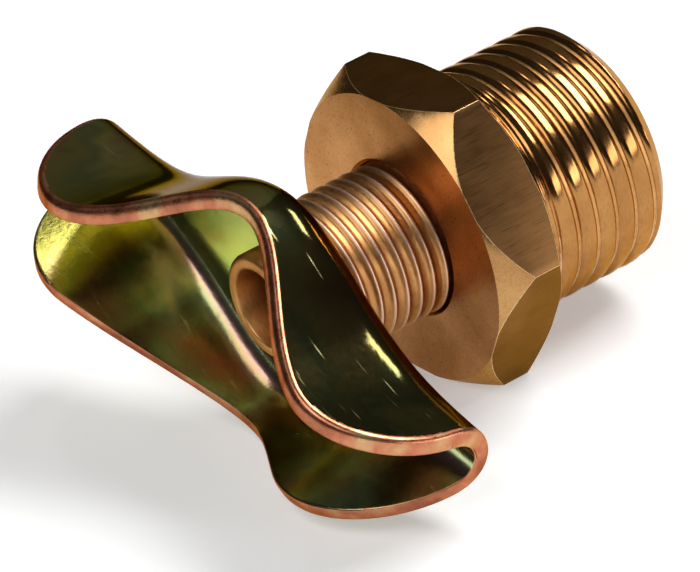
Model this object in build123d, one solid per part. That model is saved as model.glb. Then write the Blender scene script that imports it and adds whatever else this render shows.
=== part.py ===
"""Radiator drain tap: hexagon body, hollow screw spindle, folded wing handle and seat washer.

Millimetres. The tap's axis is X, pointing into the radiator; X = 0 is the face of the hexagon that meets the
radiator boss. Z is up, square to the hexagon flat that the loose tap lies on. Shown closed.
Screw threads are plain cylinders at their major diameter.
"""

import os
from math import cos, exp, pi, radians, sin, sqrt

from build123d import *

# Tap body, from 19 mm hexagon brass bar
HEX_ACROSS_FLATS = 19.0
HEX_LENGTH = 4.8
HEX_FACE_RADIUS = 9.55
HEX_FRONT_CHAMFER = 1.92
HEX_BACK_CHAMFER = 1.0
RADIATOR_THREAD_RADIUS = 8.0
RADIATOR_THREAD_LENGTH = 10.2
THREAD_END_CHAMFER = 0.9
TAPPED_HOLE_RADIUS = 5.05
TAPPED_MOUTH_RADIUS = 5.25
CHAMBER_DEPTH = 4.9
SEAT_LIP_HEIGHT = 0.4
SEAT_LIP_RADIUS = 3.7
INLET_RADIUS = 3.0
INLET_MOUTH_RADIUS = 3.6

# Wing handle: one sheet, folded to a channel round the spindle end
SHEET = 1.15
WEB_MID_X = -13.08
HALF_SPAN = 18.26
BEND_RADIUS = 2.3
BEND_EASE = 0.8
HANDLE_TURN = 15.4
UPPER_BLANK_WIDTH = 11.2
LOWER_BLANK_WIDTH = 10.8
UPPER_SWELL = 6.2
LOWER_SWELL = 5.75
SWELL_SPREAD = 7.85
UPPER_SWELL_SHIFT = 0.45
UPPER_FOLD_MIDDLE = 83.0
LOWER_FOLD_MIDDLE = 78.0
FOLD_SPREAD = 4.6
UPPER_FOLD_TIPS = (83.0, 76.0)
LOWER_FOLD_TIPS = (83.0, 70.0)
UPPER_CORNER_RADII = (8.5, 7.4)
LOWER_CORNER_RADII = (6.4, 11.5)
SPOT_FACE = 0.05
STATIONS = 33
SECTION_POINTS = 41
SHOULDER_X = WEB_MID_X + SHEET / 2 - SPOT_FACE
RIM_BACK_X = WEB_MID_X - SHEET / 2 + SPOT_FACE

# Spindle, turned brass with a rolled-over outer end
SPINDLE_THREAD_RADIUS = 5.0
SPINDLE_THREAD_END = 1.2
DRAIN_BORE_RADIUS = 2.4
DRAIN_BORE_END = 2.6
NECK_RADIUS = 3.9
NOSE_FACE = 3.05
CROSS_HOLE_RADIUS = 0.75
CROSS_HOLE_X = 2.0
TANG_RADIUS = 3.1
TANG_FLAT = 2.75
TANG_CLEARANCE = 0.05
RIM_RADIUS = 3.5
RIM_FRONT = -15.4
RIM_MOUTH_RADIUS = 2.75
NOSE_PIN_RADIUS = 1.4
NOSE_HEAD_RADIUS = 1.95
NOSE_HEAD_LENGTH = 0.7

# Seat washer, loose on the nose pin
WASHER_RADIUS = 4.2
WASHER_HOLE_RADIUS = 1.5
WASHER_THICKNESS = 1.4


def turned(*profile):
    """Solid of revolution about X from (x, radius) corners."""
    outline = make_face(Polyline(*profile, close=True))
    return revolve(outline, Axis.X)


def tap_body():
    corner = HEX_ACROSS_FLATS / sqrt(3)
    hexagon = Plane.YZ.offset(-HEX_LENGTH) * RegularPolygon(corner, 6, rotation=0)
    bar = extrude(hexagon, HEX_LENGTH)
    rise = corner - HEX_FACE_RADIUS
    over = 0.5
    chamfers = turned(
        (-HEX_LENGTH, 0),
        (-HEX_LENGTH, HEX_FACE_RADIUS),
        (-HEX_LENGTH + HEX_FRONT_CHAMFER * (1 + over), HEX_FACE_RADIUS + rise * (1 + over)),
        (-HEX_BACK_CHAMFER * (1 + over), HEX_FACE_RADIUS + rise * (1 + over)),
        (0, HEX_FACE_RADIUS),
        (0, 0),
    )
    head = bar & chamfers
    stud = turned(
        (-0.5, 0),
        (-0.5, RADIATOR_THREAD_RADIUS),
        (RADIATOR_THREAD_LENGTH - THREAD_END_CHAMFER, RADIATOR_THREAD_RADIUS),
        (RADIATOR_THREAD_LENGTH, RADIATOR_THREAD_RADIUS - THREAD_END_CHAMFER),
        (RADIATOR_THREAD_LENGTH, 0),
    )
    lip_face = CHAMBER_DEPTH - SEAT_LIP_HEIGHT
    waterway = turned(
        (-HEX_LENGTH - 0.1, 0),
        (-HEX_LENGTH - 0.1, TAPPED_MOUTH_RADIUS + 0.1),
        (-HEX_LENGTH + TAPPED_MOUTH_RADIUS - TAPPED_HOLE_RADIUS, TAPPED_HOLE_RADIUS),
        (CHAMBER_DEPTH, TAPPED_HOLE_RADIUS),
        (CHAMBER_DEPTH, SEAT_LIP_RADIUS),
        (lip_face, SEAT_LIP_RADIUS),
        (lip_face, INLET_RADIUS),
        (RADIATOR_THREAD_LENGTH + INLET_RADIUS - INLET_MOUTH_RADIUS, INLET_RADIUS),
        (RADIATOR_THREAD_LENGTH + 0.1, INLET_MOUTH_RADIUS + 0.1),
        (RADIATOR_THREAD_LENGTH + 0.1, 0),
    )
    return head + stud - waterway


def double_d(radius, flat, start, end):
    """Round bar with two flats, square to the handle's wings, between two places on X."""
    section = Circle(radius) & Rectangle(2 * flat, 2 * radius + 1)
    placed = Plane((start, 0, 0), x_dir=wing_direction(), z_dir=(1, 0, 0)) * section
    return extrude(placed, end - start)


def spindle():
    chamfer = 0.5
    shank = turned(
        (SHOULDER_X, 0),
        (SHOULDER_X, SPINDLE_THREAD_RADIUS - chamfer),
        (SHOULDER_X + chamfer, SPINDLE_THREAD_RADIUS),
        (SPINDLE_THREAD_END - chamfer, SPINDLE_THREAD_RADIUS),
        (SPINDLE_THREAD_END, SPINDLE_THREAD_RADIUS - chamfer),
        (SPINDLE_THREAD_END, NECK_RADIUS),
        (NOSE_FACE, NECK_RADIUS),
        (NOSE_FACE, NOSE_PIN_RADIUS),
        (NOSE_FACE + WASHER_THICKNESS + 0.1, NOSE_PIN_RADIUS),
        (NOSE_FACE + WASHER_THICKNESS + 0.1, NOSE_HEAD_RADIUS),
        (NOSE_FACE + WASHER_THICKNESS + NOSE_HEAD_LENGTH - 0.2, NOSE_HEAD_RADIUS),
        (NOSE_FACE + WASHER_THICKNESS + NOSE_HEAD_LENGTH + 0.1, NOSE_HEAD_RADIUS - 0.5),
        (NOSE_FACE + WASHER_THICKNESS + NOSE_HEAD_LENGTH + 0.1, 0),
    )
    tang = double_d(TANG_RADIUS, TANG_FLAT, RIM_BACK_X, SHOULDER_X)
    rolled_rim = turned(
        (RIM_FRONT, 0),
        (RIM_FRONT, RIM_RADIUS),
        (RIM_BACK_X, RIM_RADIUS),
        (RIM_BACK_X, 0),
    )
    rim_edge = rolled_rim.edges().filter_by(GeomType.CIRCLE).group_by(Axis.X)[0]
    rolled_rim = fillet(rim_edge, 0.32)
    bore = turned(
        (RIM_FRONT - 0.1, 0),
        (RIM_FRONT - 0.1, RIM_MOUTH_RADIUS + 0.1),
        (RIM_FRONT + 0.9, DRAIN_BORE_RADIUS),
        (DRAIN_BORE_END - DRAIN_BORE_RADIUS / 2, DRAIN_BORE_RADIUS),
        (DRAIN_BORE_END, 0),
    )
    cross_hole = Cylinder(CROSS_HOLE_RADIUS, 2 * SPINDLE_THREAD_RADIUS)
    first = Pos(CROSS_HOLE_X, 0, 0) * cross_hole
    second = Pos(CROSS_HOLE_X, 0, 0) * Rot(90, 0, 0) * cross_hole
    return shank + tang + rolled_rim - bore - first - second


def wing_direction():
    """Unit vector along the wing on the viewer's side."""
    turn = radians(HANDLE_TURN)
    return (0, -cos(turn), -sin(turn))


def blank_width(w, upper):
    """Width of the flat blank from the fold to the free edge, with its corners rounded at the tips."""
    width = UPPER_BLANK_WIDTH if upper else LOWER_BLANK_WIDTH
    radii = UPPER_CORNER_RADII if upper else LOWER_CORNER_RADII
    radius = radii[0] if w < 0 else radii[1]
    past = max(0.0, min(1.0, (abs(w) - HALF_SPAN + radius) / radius))
    return width - radius * (1 - sqrt(1 - past * past))


def fold_angle(w, s):
    """Angle that the sheet has turned from the web, s across the blank from the fold, eased into each bend."""
    upper = s >= 0
    swell = UPPER_SWELL if upper else LOWER_SWELL
    shift = UPPER_SWELL_SHIFT if upper else 0.0
    tips = UPPER_FOLD_TIPS if upper else LOWER_FOLD_TIPS
    middle = UPPER_FOLD_MIDDLE if upper else LOWER_FOLD_MIDDLE
    tip = tips[0] if w < 0 else tips[1]
    fold = radians(tip + (middle - tip) * exp(-((w / FOLD_SPREAD) ** 2)))
    flat = swell * exp(-(((w - shift) / SWELL_SPREAD) ** 2))

    def turned_so_far(x):
        bend = min(max(abs(x) - flat, 0.0), BEND_RADIUS * fold)
        return bend * bend / (2 * BEND_RADIUS) + fold * max(abs(x) - flat - BEND_RADIUS * fold, 0.0)

    return (turned_so_far(s + BEND_EASE) - turned_so_far(s - BEND_EASE)) / (2 * BEND_EASE)


def sheet_point(w, s):
    """Place on the sheet's middle face, w along the wings and s across the blank, turned with the handle."""
    steps = 24
    axial = WEB_MID_X
    across = 0.0
    for k in range(steps):
        angle = fold_angle(w, s * (k + 0.5) / steps)
        axial -= abs(s) / steps * sin(abs(angle))
        across += s / steps * cos(angle)
    turn = radians(HANDLE_TURN)
    return Vector(axial, -w * cos(turn) - across * sin(turn), -w * sin(turn) + across * cos(turn))


def sheet_normal(w, s):
    """Outward unit normal of the sheet; the two tips are cut square to the wings."""
    step = 0.02
    along = sheet_point(w + step, s) - sheet_point(w - step, s)
    across = sheet_point(w, s + step) - sheet_point(w, s - step)
    normal = across.cross(along)
    if abs(w) > HALF_SPAN - step:
        wing = Vector(*wing_direction())
        normal = normal - wing * normal.dot(wing)
    return normal.normalized()


def sheet_section(w):
    """Closed outline of the folded sheet at one place along the wings."""
    lower = blank_width(w, False)
    upper = blank_width(w, True)
    places = [-lower + (upper + lower) * j / (SECTION_POINTS - 1) for j in range(SECTION_POINTS)]
    inner = [sheet_point(w, s) - sheet_normal(w, s) * SHEET / 2 for s in places]
    outer = [sheet_point(w, s) + sheet_normal(w, s) * SHEET / 2 for s in places]
    return Wire(
        [
            Edge.make_spline(inner),
            Edge.make_line(inner[-1], outer[-1]),
            Edge.make_spline(outer[::-1]),
            Edge.make_line(outer[0], inner[0]),
        ]
    )


def wing_handle():
    # stations crowd towards the rounded tips
    turns = [pi / 2 * (2 * i / (STATIONS - 1) - 1) for i in range(STATIONS)]
    sheet = Solid.make_loft([sheet_section(HALF_SPAN * sin(turn)) for turn in turns])
    gap = TANG_CLEARANCE
    hole = double_d(TANG_RADIUS + gap, TANG_FLAT + gap, WEB_MID_X - 2, WEB_MID_X + 2)
    shoulder_seat = Pos(SHOULDER_X + 0.5, 0, 0) * Rot(0, 90, 0) * Cylinder(SPINDLE_THREAD_RADIUS + 0.2, 1.0)
    rim_seat = Pos(RIM_BACK_X - 0.5, 0, 0) * Rot(0, 90, 0) * Cylinder(RIM_RADIUS + 0.2, 1.0)
    return sheet - hole - shoulder_seat - rim_seat


def seat_washer():
    face = CHAMBER_DEPTH - SEAT_LIP_HEIGHT
    edge = 0.15
    return turned(
        (face - WASHER_THICKNESS, WASHER_HOLE_RADIUS),
        (face - WASHER_THICKNESS, WASHER_RADIUS - edge),
        (face - WASHER_THICKNESS + edge, WASHER_RADIUS),
        (face - edge, WASHER_RADIUS),
        (face, WASHER_RADIUS - edge),
        (face, WASHER_HOLE_RADIUS),
    )


PIECES = {
    "tap_body": tap_body,
    "spindle": spindle,
    "wing_handle": wing_handle,
    "seat_washer": seat_washer,
}

os.makedirs("parts", exist_ok=True)
for name, make in PIECES.items():
    piece = make()
    solids = piece.solids()
    assert len(solids) == 1, (name, len(solids))
    export_step(solids[0], f"parts/{name}.step")
    box = solids[0].bounding_box()
    print(name, round(solids[0].volume, 1), "mm3", box.min, box.max)
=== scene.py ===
from math import cos, exp, pi, radians, sin, sqrt

import bmesh
import bpy
from mathutils import Matrix, Vector


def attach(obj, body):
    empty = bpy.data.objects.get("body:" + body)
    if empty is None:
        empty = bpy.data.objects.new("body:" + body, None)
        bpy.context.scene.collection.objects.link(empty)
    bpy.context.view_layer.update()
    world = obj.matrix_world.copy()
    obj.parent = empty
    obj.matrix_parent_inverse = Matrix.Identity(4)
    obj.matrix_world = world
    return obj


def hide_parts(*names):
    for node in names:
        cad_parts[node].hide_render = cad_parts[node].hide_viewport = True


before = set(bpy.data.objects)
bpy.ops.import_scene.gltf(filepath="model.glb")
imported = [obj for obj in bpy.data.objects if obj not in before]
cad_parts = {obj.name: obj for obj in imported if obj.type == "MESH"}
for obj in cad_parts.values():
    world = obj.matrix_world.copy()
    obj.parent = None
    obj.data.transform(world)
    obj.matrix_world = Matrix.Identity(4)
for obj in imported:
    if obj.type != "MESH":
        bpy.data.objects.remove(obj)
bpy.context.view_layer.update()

MM = 0.001

# Lengths below are in millimetres, unless a comment says otherwise.

# Meshes: gap that is welded, snap of the cuts, and angles in degrees
WELD = 1e-3
SOLID_CUT_SNAP = 1e-4
THREAD_CUT_SNAP = 1e-5
SPARE_TURNS = 2
FLATTEN_ANGLE = 0.5
BURR_ANGLE = 15.0

# Radiator thread
STUD_RADIUS = 8.0
STUD_PITCH = 1.5
STUD_DEPTH = 0.46
STUD_CREST_POWER = 3.3
STUD_SIDES = 120
STUD_STEPS = 40
# Faces in the grooves between these radii carry a painted highlight
ROOT_RADIUS = 7.72
ROOT_MARGIN = 0.1
STUD_START = -0.02
STUD_END = 10.2
STUD_CHAMFER = 0.9
NECK_END = 1.1
NECK_RUN_OUT = 0.9
NECK_DEPTH = 0.2
RING_PITCH = 0.28
RING_DEPTH = 0.045

# Inside of the body
INLET_MOUTH_RADIUS = 3.6
INLET_MOUTH_X = 9.6
INLET_RADIUS = 3.0
SEAT_LIP_X = 4.5
SEAT_LIP_RADIUS = 3.7
SEAT_FLOOR_X = 4.9
TAPPED_RADIUS = 5.05

# Hexagon: a face leans by the X part of its normal
HALF_ACROSS_FLATS = 9.5
BURR = 0.07
END_FACE_LEAN = 0.97
FLAT_LEAN = 0.05
OUTSIDE_RADIUS_SQUARED = 60.0

# Spindle
SPINDLE_RADIUS = 5.0
SPINDLE_PITCH = 1.0
SPINDLE_DEPTH = 0.21
SPINDLE_CREST_SHARE = 0.2
SPINDLE_CHAMFER = 0.5
SPINDLE_SIDES = 96
SPINDLE_STEPS = 20
SHOULDER_X = -12.555
NOSE_CUT_X = 0.6
BORE_RADIUS = 2.4
TANG_RADIUS = 3.1
RIM_BACK_X = -13.605
RIM_BACK_EASE = 0.12
RIM_FRONT_X = -15.4
RIM_RADIUS = 3.5
RIM_LIP = [
    (-15.0, RIM_RADIUS), (-15.2, 3.43), (-15.34, 3.28), (RIM_FRONT_X, 3.1), (RIM_FRONT_X, 2.70),
    (-15.37, 2.64), (-15.28, 2.59), (-13.6, 2.43), (-13.3, BORE_RADIUS),
]

# Wing handle: fold angles and the handle's turn are in degrees, pairs are for the far and the near wing
SHEET = 1.15
WEB_MID_X = -13.08
HALF_SPAN = 18.26
BEND_RADIUS = 2.3
BEND_EASE = 0.8
HANDLE_TURN = 15.4
UPPER_BLANK_WIDTH = 11.2
LOWER_BLANK_WIDTH = 10.8
UPPER_SWELL = 6.2
LOWER_SWELL = 5.75
SWELL_SPREAD = 7.85
UPPER_SWELL_SHIFT = 0.45
UPPER_FOLD_MIDDLE = 83.0
LOWER_FOLD_MIDDLE = 78.0
FOLD_SPREAD = 4.6
UPPER_FOLD_TIPS = (83.0, 76.0)
LOWER_FOLD_TIPS = (83.0, 70.0)
UPPER_CORNER_RADII = (8.5, 7.4)
LOWER_CORNER_RADII = (6.4, 11.5)
OUTER_EASE = 0.42
INNER_EASE = 0.14
OUTER_BAND = 0.45
INNER_BAND = 0.09
HOLE_RADIUS = 2.8
HOLE_MARGIN = 1.0
CELLS_ALONG = 132
CELLS_ACROSS = 84
EVEN_SHARE = 0.35
PATH_STEPS = 24

# Stage, in metres, watts and degrees; the sensor is in millimetres
FLOOR_HALF_SIZE = 1.5
FLOOR_GAP = 0.00002
FLOOR_GLOW = 0.34
WORLD_COLOUR = (0.03, 0.03, 0.03, 1)
LAMP_AIM = (-0.004, 0, 0)
LAMPS = [
    ("overhead box", (0.206, -0.10, 0.388), (0, 1, 0.2), (0.30, 0.13), 1.6),
    ("front left box", (-0.29, -0.11, 0.385), (0, 1, 0), (0.42, 0.26), 1.0),
    ("low right strip", (0.23, -0.435, 0.085), (1, 0.5, 0), (0.5, 0.10), 0.65),
    ("back top lamp", (0.10, 0.126, 0.42), (1, 0, 0), (0.055, 0.055), 0.075),
    ("back panel", (0.21, 0.36, 0.29), (1, -0.6, 0), (0.44, 0.5), 0.055),
    ("right strip", (0.37, 0.0, 0.25), (0, 1, 0), (0.15, 0.045), 0.08),
]
SENSOR_WIDTH = 36.0
FOCAL_PIXELS = 5000
PICTURE_PIXELS = 700
CAMERA_PLACE = (-0.147888, -0.227223, 0.143320)
CAMERA_TURN = (61.0056, 9.8574, -36.8617)


def new_material(name):
    material = bpy.data.materials.new(name)
    material.use_nodes = True
    return material, material.node_tree.nodes, material.node_tree.links


def new_metal(name, grazing):
    """Bare metal material, with its tint at grazing angles."""
    material, nodes, links = new_material(name)
    shader = nodes["Principled BSDF"]
    shader.inputs["Metallic"].default_value = 1.0
    shader.inputs["Specular Tint"].default_value = (*grazing, 1.0)
    return material, nodes, links, shader


def add(nodes, kind, **settings):
    node = nodes.new(kind)
    for key, value in settings.items():
        setattr(node, key, value)
    return node


def ramp(nodes, links, value, stops):
    """Colour from a value, by stops of place and colour."""
    node = nodes.new("ShaderNodeValToRGB")
    while len(node.color_ramp.elements) < len(stops):
        node.color_ramp.elements.new(0.5)
    for element, (place, colour) in zip(node.color_ramp.elements, stops):
        element.position = place
        element.color = (*colour, 1.0)
    links.new(value, node.inputs["Fac"])
    return node.outputs["Color"]


def noise(nodes, links, vector, scale, detail=2.0, distortion=0.0):
    node = add(nodes, "ShaderNodeTexNoise")
    node.inputs["Scale"].default_value = scale
    node.inputs["Detail"].default_value = detail
    node.inputs["Distortion"].default_value = distortion
    links.new(vector, node.inputs["Vector"])
    return node.outputs["Fac"]


def map_range(nodes, links, value, before=(0.0, 1.0), after=(0.0, 1.0)):
    """Clamped map of a value from one range to another."""
    node = add(nodes, "ShaderNodeMapRange")
    node.inputs["From Min"].default_value, node.inputs["From Max"].default_value = before
    node.inputs["To Min"].default_value, node.inputs["To Max"].default_value = after
    links.new(value, node.inputs["Value"])
    return node.outputs["Result"]


def multiply(nodes, links, factor, first, second):
    node = add(nodes, "ShaderNodeMix", data_type="RGBA", blend_type="MULTIPLY")
    node.inputs["Factor"].default_value = factor
    links.new(first, node.inputs["A"])
    links.new(second, node.inputs["B"])
    return node.outputs["Result"]


def blend_to(nodes, links, share, first, colour):
    """Mix of a colour socket with one plain colour."""
    node = add(nodes, "ShaderNodeMix", data_type="RGBA")
    node.inputs["B"].default_value = (*colour, 1.0)
    links.new(share, node.inputs["Factor"])
    links.new(first, node.inputs["A"])
    return node.outputs["Result"]


def add_bump(nodes, links, shader, height, strength, distance):
    node = add(nodes, "ShaderNodeBump")
    node.inputs["Strength"].default_value = strength
    node.inputs["Distance"].default_value = distance
    links.new(height, node.inputs["Height"])
    links.new(node.outputs["Normal"], shader.inputs["Normal"])


def brass(name, light, dark, roughness, grain_scale, grain_depth, streak, pitted=0.0, worn=None):
    """Machined brass: mottled, with tool lines along a stretch, pits and a lighter tone between two radii,
    partly wear and partly a painted highlight.
    """
    material, nodes, links, shader = new_metal(name, (0.80, 0.60, 0.40))
    place = add(nodes, "ShaderNodeTexCoord").outputs["Object"]
    stretch = add(nodes, "ShaderNodeMapping")
    stretch.inputs["Scale"].default_value = streak
    links.new(place, stretch.inputs["Vector"])
    blotch = noise(nodes, links, place, scale=260.0, detail=6.0)
    colour = ramp(nodes, links, blotch, [(0.34, dark), (0.64, light)])
    lines = noise(nodes, links, stretch.outputs["Vector"], grain_scale, detail=3.0)
    low = 1.0 - grain_depth
    shade = ramp(nodes, links, lines, [(0.33, (low, low, low)), (0.52, (1.0, 1.0, 1.0))])
    colour = multiply(nodes, links, 1.0, colour, shade)
    if pitted:
        pits = add(nodes, "ShaderNodeTexVoronoi")
        pits.inputs["Scale"].default_value = 1500.0
        links.new(place, pits.inputs["Vector"])
        pit_stops = [(0.06, (0.40, 0.33, 0.29)), (0.14, (1.0, 1.0, 1.0))]
        pit = ramp(nodes, links, pits.outputs["Distance"], pit_stops)
        colour = multiply(nodes, links, pitted, colour, pit)
    # Lighter tone towards the crest: partly wear, partly painted highlight lines on the crests.
    if worn:
        bare_radius, lightest_crest_radius, crest_wear_and_highlight_tone = worn
        split = add(nodes, "ShaderNodeSeparateXYZ")
        links.new(place, split.inputs["Vector"])
        flat = add(nodes, "ShaderNodeCombineXYZ")
        links.new(split.outputs["Y"], flat.inputs["Y"])
        links.new(split.outputs["Z"], flat.inputs["Z"])
        radius = add(nodes, "ShaderNodeVectorMath", operation="LENGTH")
        links.new(flat.outputs["Vector"], radius.inputs[0])
        crest_band = (bare_radius * MM, lightest_crest_radius * MM)
        height = map_range(nodes, links, radius.outputs["Value"], before=crest_band)
        colour = blend_to(nodes, links, height, colour, crest_wear_and_highlight_tone)
    links.new(colour, shader.inputs["Base Color"])
    add_bump(nodes, links, shader, lines, strength=0.5, distance=0.00001 * grain_depth)
    rough = map_range(nodes, links, lines, after=(roughness * 0.75, roughness * 1.3))
    links.new(rough, shader.inputs["Roughness"])
    return material


def passivated_zinc(
    name, scale, tints, grazing, roughness, scuffed, orange_peel, bends, far_tip_glare=None
):
    """Bright zinc under a film whose tint drifts over the sheet and its bends, scuffed along the wings, with
    an optional yellow painted glare at the far tip.
    """
    material, nodes, links, shader = new_metal(name, grazing)
    place = add(nodes, "ShaderNodeTexCoord").outputs["Object"]
    film = noise(nodes, links, place, scale, detail=3.0, distortion=0.8)
    fold = add(nodes, "ShaderNodeAttribute", attribute_name="bend").outputs["Fac"]
    folded = add(nodes, "ShaderNodeMix", data_type="RGBA")
    near_web = map_range(nodes, links, fold, before=(0.9, 0.6), after=(0.0, 0.76))
    links.new(near_web, folded.inputs["Factor"])
    links.new(ramp(nodes, links, film, tints), folded.inputs["A"])
    links.new(ramp(nodes, links, fold, bends), folded.inputs["B"])
    colour = folded.outputs["Result"]
    # Yellow towards the far tip: painted glare.
    if far_tip_glare:
        reach = add(nodes, "ShaderNodeAttribute", attribute_name="wing").outputs["Fac"]
        glare_share = map_range(nodes, links, reach, before=(-0.62, -0.85))
        colour = blend_to(nodes, links, glare_share, colour, far_tip_glare)
    along = add(nodes, "ShaderNodeMapping", vector_type="TEXTURE")
    along.inputs["Scale"].default_value = (1.0, 10.0, 10.0)
    along.inputs["Rotation"].default_value = (radians(HANDLE_TURN), 0, 0)
    links.new(place, along.inputs["Vector"])
    marks = noise(nodes, links, along.outputs["Vector"], scale=2600.0)
    scuff = map_range(nodes, links, marks, before=(0.66, 0.78), after=(0.0, scuffed))
    colour = blend_to(nodes, links, scuff, colour, (0.62, 0.54, 0.28))
    links.new(colour, shader.inputs["Base Color"])
    fine = noise(nodes, links, place, scale=2600.0, detail=3.0)
    add_bump(nodes, links, shader, fine, strength=orange_peel, distance=0.00003)
    rough = map_range(nodes, links, fine, after=(roughness * 0.7, roughness * 1.3))
    worn = add(nodes, "ShaderNodeMath", operation="MULTIPLY_ADD")
    worn.inputs[1].default_value = 0.3
    links.new(scuff, worn.inputs[0])
    links.new(rough, worn.inputs[2])
    links.new(worn.outputs[0], shader.inputs["Roughness"])
    return material


def cut_edge():
    """Sheared edge of the sheet: salmon-coloured film over a rougher surface."""
    material, nodes, links, shader = new_metal("sheared edge", (0.66, 0.40, 0.28))
    place = add(nodes, "ShaderNodeTexCoord").outputs["Object"]
    film = noise(nodes, links, place, scale=420.0, detail=6.0)
    tints = [(0.36, (0.34, 0.12, 0.065)), (0.50, (0.55, 0.20, 0.105)), (0.64, (0.62, 0.37, 0.18))]
    links.new(ramp(nodes, links, film, tints), shader.inputs["Base Color"])
    fine = noise(nodes, links, place, scale=3000.0)
    add_bump(nodes, links, shader, fine, strength=0.25, distance=0.00004)
    links.new(map_range(nodes, links, fine, after=(0.2, 0.4)), shader.inputs["Roughness"])
    return material


def black_rubber():
    """Matt rubber of the washer, faintly speckled."""
    material, nodes, links = new_material("washer rubber")
    shader = nodes["Principled BSDF"]
    shader.inputs["Roughness"].default_value = 0.6
    place = add(nodes, "ShaderNodeTexCoord").outputs["Object"]
    speck = noise(nodes, links, place, scale=1500.0)
    tones = [(0.3, (0.015, 0.015, 0.015)), (0.7, (0.04, 0.04, 0.04))]
    links.new(ramp(nodes, links, speck, tones), shader.inputs["Base Color"])
    return material


def piece(name, bm, body, materials, smooth_angle=35.0):
    """Turns a bmesh in millimetres into a finished object riding on a body."""
    bmesh.ops.scale(bm, vec=(MM, MM, MM), verts=bm.verts)
    mesh = bpy.data.meshes.new(name)
    bm.to_mesh(mesh)
    bm.free()
    obj = bpy.data.objects.new(name, mesh)
    bpy.context.scene.collection.objects.link(obj)
    for material in materials:
        mesh.materials.append(material)
    mesh.shade_smooth()
    mesh.set_sharp_from_angle(angle=radians(smooth_angle))
    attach(obj, body)
    return obj


def cut_away(bm, x, side, snap):
    """Removes what lies past the plane at x, towards +X where side is 1 and towards -X where it is -1."""
    geom = bm.verts[:] + bm.edges[:] + bm.faces[:]
    bmesh.ops.bisect_plane(
        bm, geom=geom, dist=snap, plane_co=(x, 0, 0), plane_no=(side, 0, 0), clear_outer=True
    )


def split_large_faces(bm):
    bmesh.ops.triangulate(bm, faces=[f for f in bm.faces if len(f.verts) > 4])


def end_of_solid(node, x, side):
    """Mesh of a solid in millimetres, cut off at x and closed there between its two rings."""
    bm = bmesh.new()
    bm.from_mesh(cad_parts[node].data)
    bmesh.ops.scale(bm, vec=(1 / MM, 1 / MM, 1 / MM), verts=bm.verts)
    bmesh.ops.remove_doubles(bm, verts=bm.verts, dist=WELD)
    cut_away(bm, x, side, SOLID_CUT_SNAP)
    bmesh.ops.bridge_loops(bm, edges=[e for e in bm.edges if e.is_boundary])
    bmesh.ops.recalc_face_normals(bm, faces=bm.faces)
    return bm


def open_edges(bm, x):
    """Boundary edges that lie in the plane at x."""
    return [
        e for e in bm.edges
        if e.is_boundary and all(abs(v.co.x - x) < WELD for v in e.verts)
    ]


def carry_ring(bm, edges, x, radius):
    """Extrudes an open ring to a circle of the given radius at x, and returns the new ring's edges."""
    made = bmesh.ops.extrude_edge_only(bm, edges=edges)["geom"]
    fresh = {g for g in made if isinstance(g, bmesh.types.BMVert)}
    for v in fresh:
        flat = Vector((0, v.co.y, v.co.z)).normalized() * radius
        v.co = Vector((x, flat.y, flat.z))
    return [g for g in made if isinstance(g, bmesh.types.BMEdge) and all(v in fresh for v in g.verts)]


def close_hollow(bm, first_x, last_x, outline):
    """Carries the open ring at first_x along an outline of x and radius, and joins it to that at last_x."""
    last = open_edges(bm, last_x)
    ring = open_edges(bm, first_x)
    for x, radius in outline:
        ring = carry_ring(bm, ring, x, radius)
    bmesh.ops.bridge_loops(bm, edges=ring + last)
    split_large_faces(bm)
    bmesh.ops.recalc_face_normals(bm, faces=bm.faces)


def thread_wall(bm, start, end, radius, pitch, depth, form, limit, sides, count):
    """Right-hand screw thread about X: its long profile is spun one turn while it moves on by one pitch."""
    lead = start - SPARE_TURNS * pitch
    turns = int((end - start) / pitch) + 2 * SPARE_TURNS
    profile = [
        bm.verts.new((lead + pitch * k / count, radius - depth * form(k / count % 1.0), 0))
        for k in range(count * turns + 1)
    ]
    edges = [bm.edges.new(pair) for pair in zip(profile, profile[1:])]
    bmesh.ops.spin(
        bm, geom=profile + edges, cent=(0, 0, 0), axis=(1, 0, 0), dvec=(pitch / sides, 0, 0),
        angle=2 * pi, steps=sides,
    )
    bmesh.ops.remove_doubles(bm, verts=bm.verts, dist=WELD)
    for x, side in ((start, -1), (end, 1)):
        cut_away(bm, x, side, THREAD_CUT_SNAP)
    for v in bm.verts:
        now = sqrt(v.co.y ** 2 + v.co.z ** 2)
        want = limit(v.co.x, now)
        v.co.y *= want / now
        v.co.z *= want / now


def stud_form(share):
    """Broad flattened crest with a narrow groove between neighbours."""
    return (2 * min(share, 1 - share)) ** STUD_CREST_POWER


def spindle_form(share):
    """Narrow rounded crest over a broad shallow root."""
    return 1 - exp(-((min(share, 1 - share) / SPINDLE_CREST_SHARE) ** 2))


def stud_limit(x, r):
    """Thread runs out into a neck with turned rings against the hexagon, and is chamfered at its end."""
    fade = max(0.0, min(1.0, (x - NECK_END) / NECK_RUN_OUT))
    neck = NECK_DEPTH + RING_DEPTH * (1 - cos(2 * pi * x / RING_PITCH)) / 2
    r = STUD_RADIUS - neck * (1 - fade) - (STUD_RADIUS - r) * fade
    return min(r, STUD_RADIUS - (x - STUD_END + STUD_CHAMFER))


def spindle_limit(x, r):
    """Thread is chamfered at the shoulder behind the handle."""
    return min(r, SPINDLE_RADIUS - SPINDLE_CHAMFER + (x - SHOULDER_X))


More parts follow.
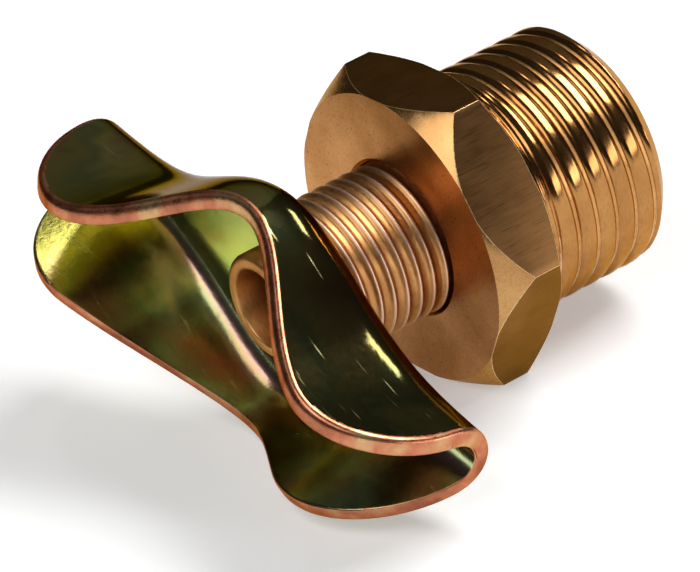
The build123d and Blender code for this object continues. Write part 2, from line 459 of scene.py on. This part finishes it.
def radiator_thread(metal, groove_highlight_metal):
    """Threaded stud with the inlet, the seat's lip and the tapped hole, and lighter metal in the grooves as
    a painted highlight.
    """
    bm = bmesh.new()
    thread_wall(
        bm, STUD_START, STUD_END, STUD_RADIUS, STUD_PITCH, STUD_DEPTH, stud_form, stud_limit,
        STUD_SIDES, STUD_STEPS,
    )
    outline = [
        (STUD_END, INLET_MOUTH_RADIUS), (INLET_MOUTH_X, INLET_RADIUS), (SEAT_LIP_X, INLET_RADIUS),
        (SEAT_LIP_X, SEAT_LIP_RADIUS), (SEAT_FLOOR_X, SEAT_LIP_RADIUS), (SEAT_FLOOR_X, TAPPED_RADIUS),
        (STUD_START, TAPPED_RADIUS),
    ]
    close_hollow(bm, STUD_END, STUD_START, outline)
    # Faces deep in the grooves take the lighter material: painted highlight lines.
    for f in bm.faces:
        middle = f.calc_center_median()
        height = sqrt(middle.y ** 2 + middle.z ** 2)
        threaded = NECK_END + NECK_RUN_OUT / 2 < middle.x < STUD_END - STUD_CHAMFER
        deep = STUD_RADIUS - STUD_DEPTH - ROOT_MARGIN < height < ROOT_RADIUS
        f.material_index = 1 if threaded and deep else 0
    return piece("radiator_thread", bm, "body", [metal, groove_highlight_metal])


def hexagon_head(flats, turned, satin, burr_highlight):
    """Hexagon of the body, from the solid, with its own finish on flats, chamfers, faces and burrs; the
    flats are painted dark as shade and the burrs painted light as highlight.
    """
    on_flat, on_chamfer, on_face, on_burr_highlight = range(4)
    bm = end_of_solid("tap_body", STUD_START, 1)
    for f in bm.faces:
        lean = abs(f.normal.x)
        middle = f.calc_center_median()
        outside = middle.y ** 2 + middle.z ** 2 > OUTSIDE_RADIUS_SQUARED
        if lean > END_FACE_LEAN or not outside:
            f.material_index = on_face
        else:
            f.material_index = on_flat if lean < FLAT_LEAN else on_chamfer
    bmesh.ops.dissolve_limit(
        bm, angle_limit=radians(FLATTEN_ANGLE), verts=bm.verts, edges=bm.edges,
        delimit={"MATERIAL"}, use_dissolve_boundaries=False,
    )
    # The bevelled edges of the flats take a much lighter brass: real burrs with a painted highlight.
    rims = [
        e for e in bm.edges
        if e.calc_face_angle(0.0) > radians(BURR_ANGLE)
        and any(f.material_index == on_flat for f in e.link_faces)
    ]
    bmesh.ops.bevel(
        bm, geom=rims, offset=BURR, offset_type="OFFSET", affect="EDGES", segments=2, profile=0.5,
        material=on_burr_highlight, clamp_overlap=True,
    )
    split_large_faces(bm)
    return piece("hexagon_head", bm, "body", [flats, turned, satin, burr_highlight], smooth_angle=20.0)


def spindle_shank(metal):
    """Threaded shank, tang and rolled rim, hollow to the drain bore."""
    bm = bmesh.new()
    thread_wall(
        bm, SHOULDER_X, NOSE_CUT_X, SPINDLE_RADIUS, SPINDLE_PITCH, SPINDLE_DEPTH, spindle_form,
        spindle_limit, SPINDLE_SIDES, SPINDLE_STEPS,
    )
    outline = [
        (SHOULDER_X, TANG_RADIUS), (RIM_BACK_X, TANG_RADIUS), (RIM_BACK_X, RIM_RADIUS - RIM_BACK_EASE),
        (RIM_BACK_X - RIM_BACK_EASE, RIM_RADIUS), *RIM_LIP, (NOSE_CUT_X, BORE_RADIUS),
    ]
    close_hollow(bm, SHOULDER_X, NOSE_CUT_X, outline)
    return piece("spindle_shank", bm, "handle", [metal])


def spindle_nose(metal):
    """Inner end of the spindle with its cross holes, from the solid."""
    return piece("spindle_nose", end_of_solid("spindle", NOSE_CUT_X, -1), "handle", [metal])


def blank_width(w, upper):
    """Width of the flat blank from the fold to the free edge, with its corners rounded at the tips."""
    width = UPPER_BLANK_WIDTH if upper else LOWER_BLANK_WIDTH
    radii = UPPER_CORNER_RADII if upper else LOWER_CORNER_RADII
    radius = radii[0] if w < 0 else radii[1]
    past = max(0.0, min(1.0, (abs(w) - HALF_SPAN + radius) / radius))
    return width - radius * (1 - sqrt(max(0.0, 1 - past * past)))


def fold_angle(w, s):
    """Angle the sheet has turned from the web at s across the blank, eased into each bend."""
    upper = s >= 0
    swell = UPPER_SWELL if upper else LOWER_SWELL
    shift = UPPER_SWELL_SHIFT if upper else 0.0
    tips = UPPER_FOLD_TIPS if upper else LOWER_FOLD_TIPS
    middle = UPPER_FOLD_MIDDLE if upper else LOWER_FOLD_MIDDLE
    tip = tips[0] if w < 0 else tips[1]
    fold = radians(tip + (middle - tip) * exp(-((w / FOLD_SPREAD) ** 2)))
    flat = swell * exp(-(((w - shift) / SWELL_SPREAD) ** 2))

    def turned_so_far(x):
        bend = min(max(abs(x) - flat, 0.0), BEND_RADIUS * fold)
        return bend * bend / (2 * BEND_RADIUS) + fold * max(abs(x) - flat - BEND_RADIUS * fold, 0.0)

    return (turned_so_far(s + BEND_EASE) - turned_so_far(s - BEND_EASE)) / (2 * BEND_EASE)


def sheet_point(w, s):
    """Place on the sheet's middle face, w along the wings and s across the blank, turned with the handle."""
    axial = WEB_MID_X
    across = 0.0
    for k in range(PATH_STEPS):
        angle = fold_angle(w, s * (k + 0.5) / PATH_STEPS)
        axial -= abs(s) / PATH_STEPS * sin(abs(angle))
        across += s / PATH_STEPS * cos(angle)
    turn = radians(HANDLE_TURN)
    return Vector((axial, -w * cos(turn) - across * sin(turn), -w * sin(turn) + across * cos(turn)))


def from_edge(w, s):
    """Distance on the flat blank from the nearest edge of its outline."""
    to_tip = HALF_SPAN - abs(w)
    nearest = to_tip
    for radii, to_side in (
        (UPPER_CORNER_RADII, UPPER_BLANK_WIDTH - s),
        (LOWER_CORNER_RADII, LOWER_BLANK_WIDTH + s),
    ):
        radius = radii[0] if w < 0 else radii[1]
        if to_side < radius and to_tip < radius:
            to_side = radius - sqrt((radius - to_side) ** 2 + (radius - to_tip) ** 2)
        nearest = min(nearest, to_side)
    return max(0.0, nearest)


def half_thickness(depth, ease):
    """Half of the sheet's thickness at a distance from its edge, rounded over the last stretch."""
    bare = ease - min(ease, depth)
    return SHEET / 2 - ease + sqrt(max(0.0, ease ** 2 - bare ** 2))


def crowd(share):
    """Moves evenly spaced places between -1 and 1 closer together towards both ends."""
    return sin(pi / 2 * max(-1.0, min(1.0, share)))


def flat_blank():
    """Grid on the flat blank, w along X and s along Y, with the tang's hole cut out."""
    bm = bmesh.new()
    bmesh.ops.create_grid(bm, x_segments=CELLS_ALONG, y_segments=CELLS_ACROSS, size=1.0)
    for v in bm.verts:
        w = HALF_SPAN * crowd(v.co.x)
        share = EVEN_SHARE * v.co.y + (1 - EVEN_SHARE) * crowd(v.co.y)
        lower = blank_width(w, False)
        v.co = (w, -lower + (blank_width(w, True) + lower) * (share + 1) / 2, 0)
    inside = [f for f in bm.faces if f.calc_center_median().length < HOLE_RADIUS]
    bmesh.ops.delete(bm, geom=inside, context="FACES")
    for v in bm.verts:
        if v.is_boundary and v.co.length < HOLE_RADIUS + HOLE_MARGIN:
            v.co *= HOLE_RADIUS / v.co.length
    return bm


def wing_handle(outer_film, edge, inner_film):
    """Flat blank bent to the folded handle and given the sheet's thickness."""
    on_outside, on_edge, on_inside = range(3)
    bm = flat_blank()
    bend = bm.verts.layers.float.new("bend")
    wing = bm.verts.layers.float.new("wing")
    inset = bm.faces.layers.float.new("inset")
    outer_half = {}
    inner_half = {}
    for v in bm.verts:
        depth = from_edge(v.co.x, v.co.y)
        outer_half[v] = half_thickness(depth, OUTER_EASE)
        inner_half[v] = half_thickness(depth, INNER_EASE)
        v[bend] = abs(fold_angle(v.co.x, v.co.y)) / radians(UPPER_FOLD_MIDDLE)
        v[wing] = v.co.x / HALF_SPAN
    for f in bm.faces:
        middle = f.calc_center_median()
        f[inset] = from_edge(middle.x, middle.y)
    for v in bm.verts:
        v.co = sheet_point(v.co.x, v.co.y)
    bm.normal_update()
    side = -1 if max(bm.verts, key=lambda v: v.co.x).normal.x > 0 else 1
    outward = {v: -side * outer_half[v] * v.normal for v in bm.verts}
    inward = {tuple(v.co): side * inner_half[v] * v.normal for v in bm.verts}
    outer_faces = set(bm.faces)
    made = bmesh.ops.extrude_face_region(bm, geom=bm.faces[:], use_keep_orig=True)["geom"]
    inner_faces = {g for g in made if isinstance(g, bmesh.types.BMFace)}
    for f in bm.faces:
        if f in outer_faces:
            f.material_index = on_edge if f[inset] < OUTER_BAND else on_outside
        elif f in inner_faces:
            f.material_index = on_edge if f[inset] < INNER_BAND else on_inside
        else:
            f.material_index = on_edge
    bm.faces.layers.float.remove(inset)
    for v in [g for g in made if isinstance(g, bmesh.types.BMVert)]:
        v.co += inward[tuple(v.co)]
    for v, shift in outward.items():
        v.co += shift
    bmesh.ops.recalc_face_normals(bm, faces=bm.faces)
    films = [outer_film, edge, inner_film]
    return piece("wing_handle_sheet", bm, "handle", films, smooth_angle=50.0)


def tap():
    """All pieces with their finishes; the washer keeps the solid's own mesh."""
    even = (1.0, 1.0, 1.0)
    drawn = (0.04, 1.0, 1.0)
    rolled = (3.0, 1.0, 1.0)
    # The flats are much darker than the other brass of the body: painted shade.
    flats = brass(
        "drawn hexagon flats painted dark", (0.222, 0.110, 0.040), (0.155, 0.075, 0.027),
        roughness=0.30, grain_scale=15000, grain_depth=0.22, streak=drawn,
    )
    turned = brass(
        "turned chamfers", (0.54, 0.30, 0.115), (0.43, 0.22, 0.08),
        roughness=0.26, grain_scale=5000, grain_depth=0.15, streak=even,
    )
    satin = brass(
        "satin hexagon face", (0.62, 0.325, 0.145), (0.42, 0.20, 0.082),
        roughness=0.33, grain_scale=6000, grain_depth=0.22, streak=even, pitted=0.8,
    )
    polished = brass(
        "rolled thread", (0.50, 0.245, 0.08), (0.35, 0.155, 0.047),
        roughness=0.16, grain_scale=2500, grain_depth=0.15, streak=rolled,
    )
    # Much lighter brass in the thread grooves: painted highlight lines.
    groove_highlight = brass(
        "painted groove highlight", (0.90, 0.68, 0.42), (0.74, 0.50, 0.27),
        roughness=0.3, grain_scale=2500, grain_depth=0.15, streak=rolled,
    )
    # Lighter brass on the burrs: painted highlight lines.
    burr_highlight = brass(
        "burred edges painted light", (0.86, 0.62, 0.34), (0.60, 0.36, 0.16),
        roughness=0.42, grain_scale=4000, grain_depth=0.4, streak=even,
    )
    # The spindle's crests turn lighter pink: partly wear, partly painted highlight lines.
    copper = brass(
        "spindle brass", (0.64, 0.33, 0.125), (0.45, 0.205, 0.07),
        roughness=0.39, grain_scale=2500, grain_depth=0.2, streak=rolled,
        worn=(4.91, 4.99, (0.78, 0.52, 0.38)),
    )
    outer_film = passivated_zinc(
        "outer yellow passivation",
        scale=95,
        tints=[
            (0.28, (0.26, 0.14, 0.06)), (0.40, (0.38, 0.32, 0.11)), (0.50, (0.27, 0.30, 0.12)),
            (0.58, (0.50, 0.45, 0.15)), (0.70, (0.42, 0.24, 0.17)),
        ],
        grazing=(0.36, 0.25, 0.17), roughness=0.09, scuffed=1.0, orange_peel=0.12,
        bends=[(0.3, (0.24, 0.15, 0.08)), (0.8, (0.20, 0.13, 0.065))],
    )
    inner_film = passivated_zinc(
        "inner yellow passivation",
        scale=120,
        tints=[
            (0.30, (0.30, 0.15, 0.09)), (0.40, (0.29, 0.21, 0.10)), (0.48, (0.28, 0.26, 0.11)),
            (0.54, (0.30, 0.38, 0.18)), (0.60, (0.48, 0.44, 0.17)), (0.70, (0.44, 0.24, 0.18)),
        ],
        grazing=(0.42, 0.34, 0.16), roughness=0.21, scuffed=0.4, orange_peel=0.3,
        # The pale green-white over the web is a film tint lightened as a painted reflection; the pink at the
        # crease is film tint.
        bends=[
            (0.0, (0.68, 0.80, 0.43)), (0.28, (0.69, 0.77, 0.40)),
            (0.5, (0.56, 0.29, 0.30)), (0.75, (0.34, 0.25, 0.11)),
        ],
        # Yellow at the far tip: painted glare.
        far_tip_glare=(0.58, 0.53, 0.11),
    )
    for made, node, slot in (
        (radiator_thread(polished, groove_highlight), "tap_body", "body_brass"),
        (hexagon_head(flats, turned, satin, burr_highlight), "tap_body", "body_brass"),
        (spindle_shank(copper), "spindle", "spindle_brass"),
        (spindle_nose(copper), "spindle", "spindle_brass"),
        (wing_handle(outer_film, cut_edge(), inner_film), "wing_handle", "plated_steel"),
    ):
        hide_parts(node)
    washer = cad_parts["seat_washer"]
    washer.data.materials.clear()
    washer.data.materials.append(black_rubber())


def white_floor():
    """Pale floor that keeps the shadow and glows a little to the camera and in reflections."""
    material, nodes, links = new_material("white floor")
    shader = nodes["Principled BSDF"]
    shader.inputs["Base Color"].default_value = (0.8, 0.8, 0.8, 1)
    shader.inputs["Roughness"].default_value = 0.9
    shader.inputs["Specular IOR Level"].default_value = 0.0
    seen = add(nodes, "ShaderNodeLightPath")
    shiny = add(nodes, "ShaderNodeMath", operation="MAXIMUM")
    links.new(seen.outputs["Is Glossy Ray"], shiny.inputs[0])
    links.new(seen.outputs["Is Transmission Ray"], shiny.inputs[1])
    either = add(nodes, "ShaderNodeMath", operation="MAXIMUM")
    links.new(seen.outputs["Is Camera Ray"], either.inputs[0])
    links.new(shiny.outputs[0], either.inputs[1])
    lift = add(nodes, "ShaderNodeMath", operation="MULTIPLY")
    lift.inputs[1].default_value = FLOOR_GLOW
    links.new(either.outputs[0], lift.inputs[0])
    shader.inputs["Emission Color"].default_value = (1, 1, 1, 1)
    links.new(lift.outputs[0], shader.inputs["Emission Strength"])
    return material


def softbox(name, place, wide, size, power):
    """Area lamp turned to the tap, with its width along the given direction."""
    lamp = bpy.data.lights.new(name, "AREA")
    lamp.shape = "RECTANGLE"
    lamp.size, lamp.size_y = size
    lamp.energy = power
    obj = bpy.data.objects.new(name, lamp)
    away = (Vector(place) - Vector(LAMP_AIM)).normalized()
    upward = away.cross(Vector(wide)).normalized()
    obj.matrix_world = Matrix((upward.cross(away), upward, away)).transposed().to_4x4()
    obj.location = place
    bpy.context.scene.collection.objects.link(obj)


def floor_and_light():
    bm = bmesh.new()
    bmesh.ops.create_grid(bm, x_segments=1, y_segments=1, size=FLOOR_HALF_SIZE)
    bmesh.ops.translate(bm, vec=(0, 0, -HALF_ACROSS_FLATS * MM - FLOOR_GAP), verts=bm.verts)
    mesh = bpy.data.meshes.new("floor")
    bm.to_mesh(mesh)
    bm.free()
    floor = bpy.data.objects.new("floor", mesh)
    bpy.context.scene.collection.objects.link(floor)
    mesh.materials.append(white_floor())
    world = bpy.data.worlds.new("studio")
    bpy.context.scene.world = world
    world.use_nodes = True
    back = world.node_tree.nodes["Background"]
    back.inputs["Color"].default_value = WORLD_COLOUR
    back.inputs["Strength"].default_value = 1.0
    for lamp in LAMPS:
        softbox(*lamp)


def photo_camera():
    """Camera at the place fitted to the photograph."""
    data = bpy.data.cameras.new("camera")
    data.sensor_width = SENSOR_WIDTH
    data.lens = FOCAL_PIXELS * SENSOR_WIDTH / PICTURE_PIXELS
    data.clip_start, data.clip_end = 0.01, 10.0
    camera = bpy.data.objects.new("camera", data)
    camera.location = CAMERA_PLACE
    camera.rotation_euler = [radians(turn) for turn in CAMERA_TURN]
    bpy.context.scene.collection.objects.link(camera)
    bpy.context.scene.camera = camera


tap()
floor_and_light()
photo_camera()
bpy.context.scene.view_settings.view_transform = "Standard"
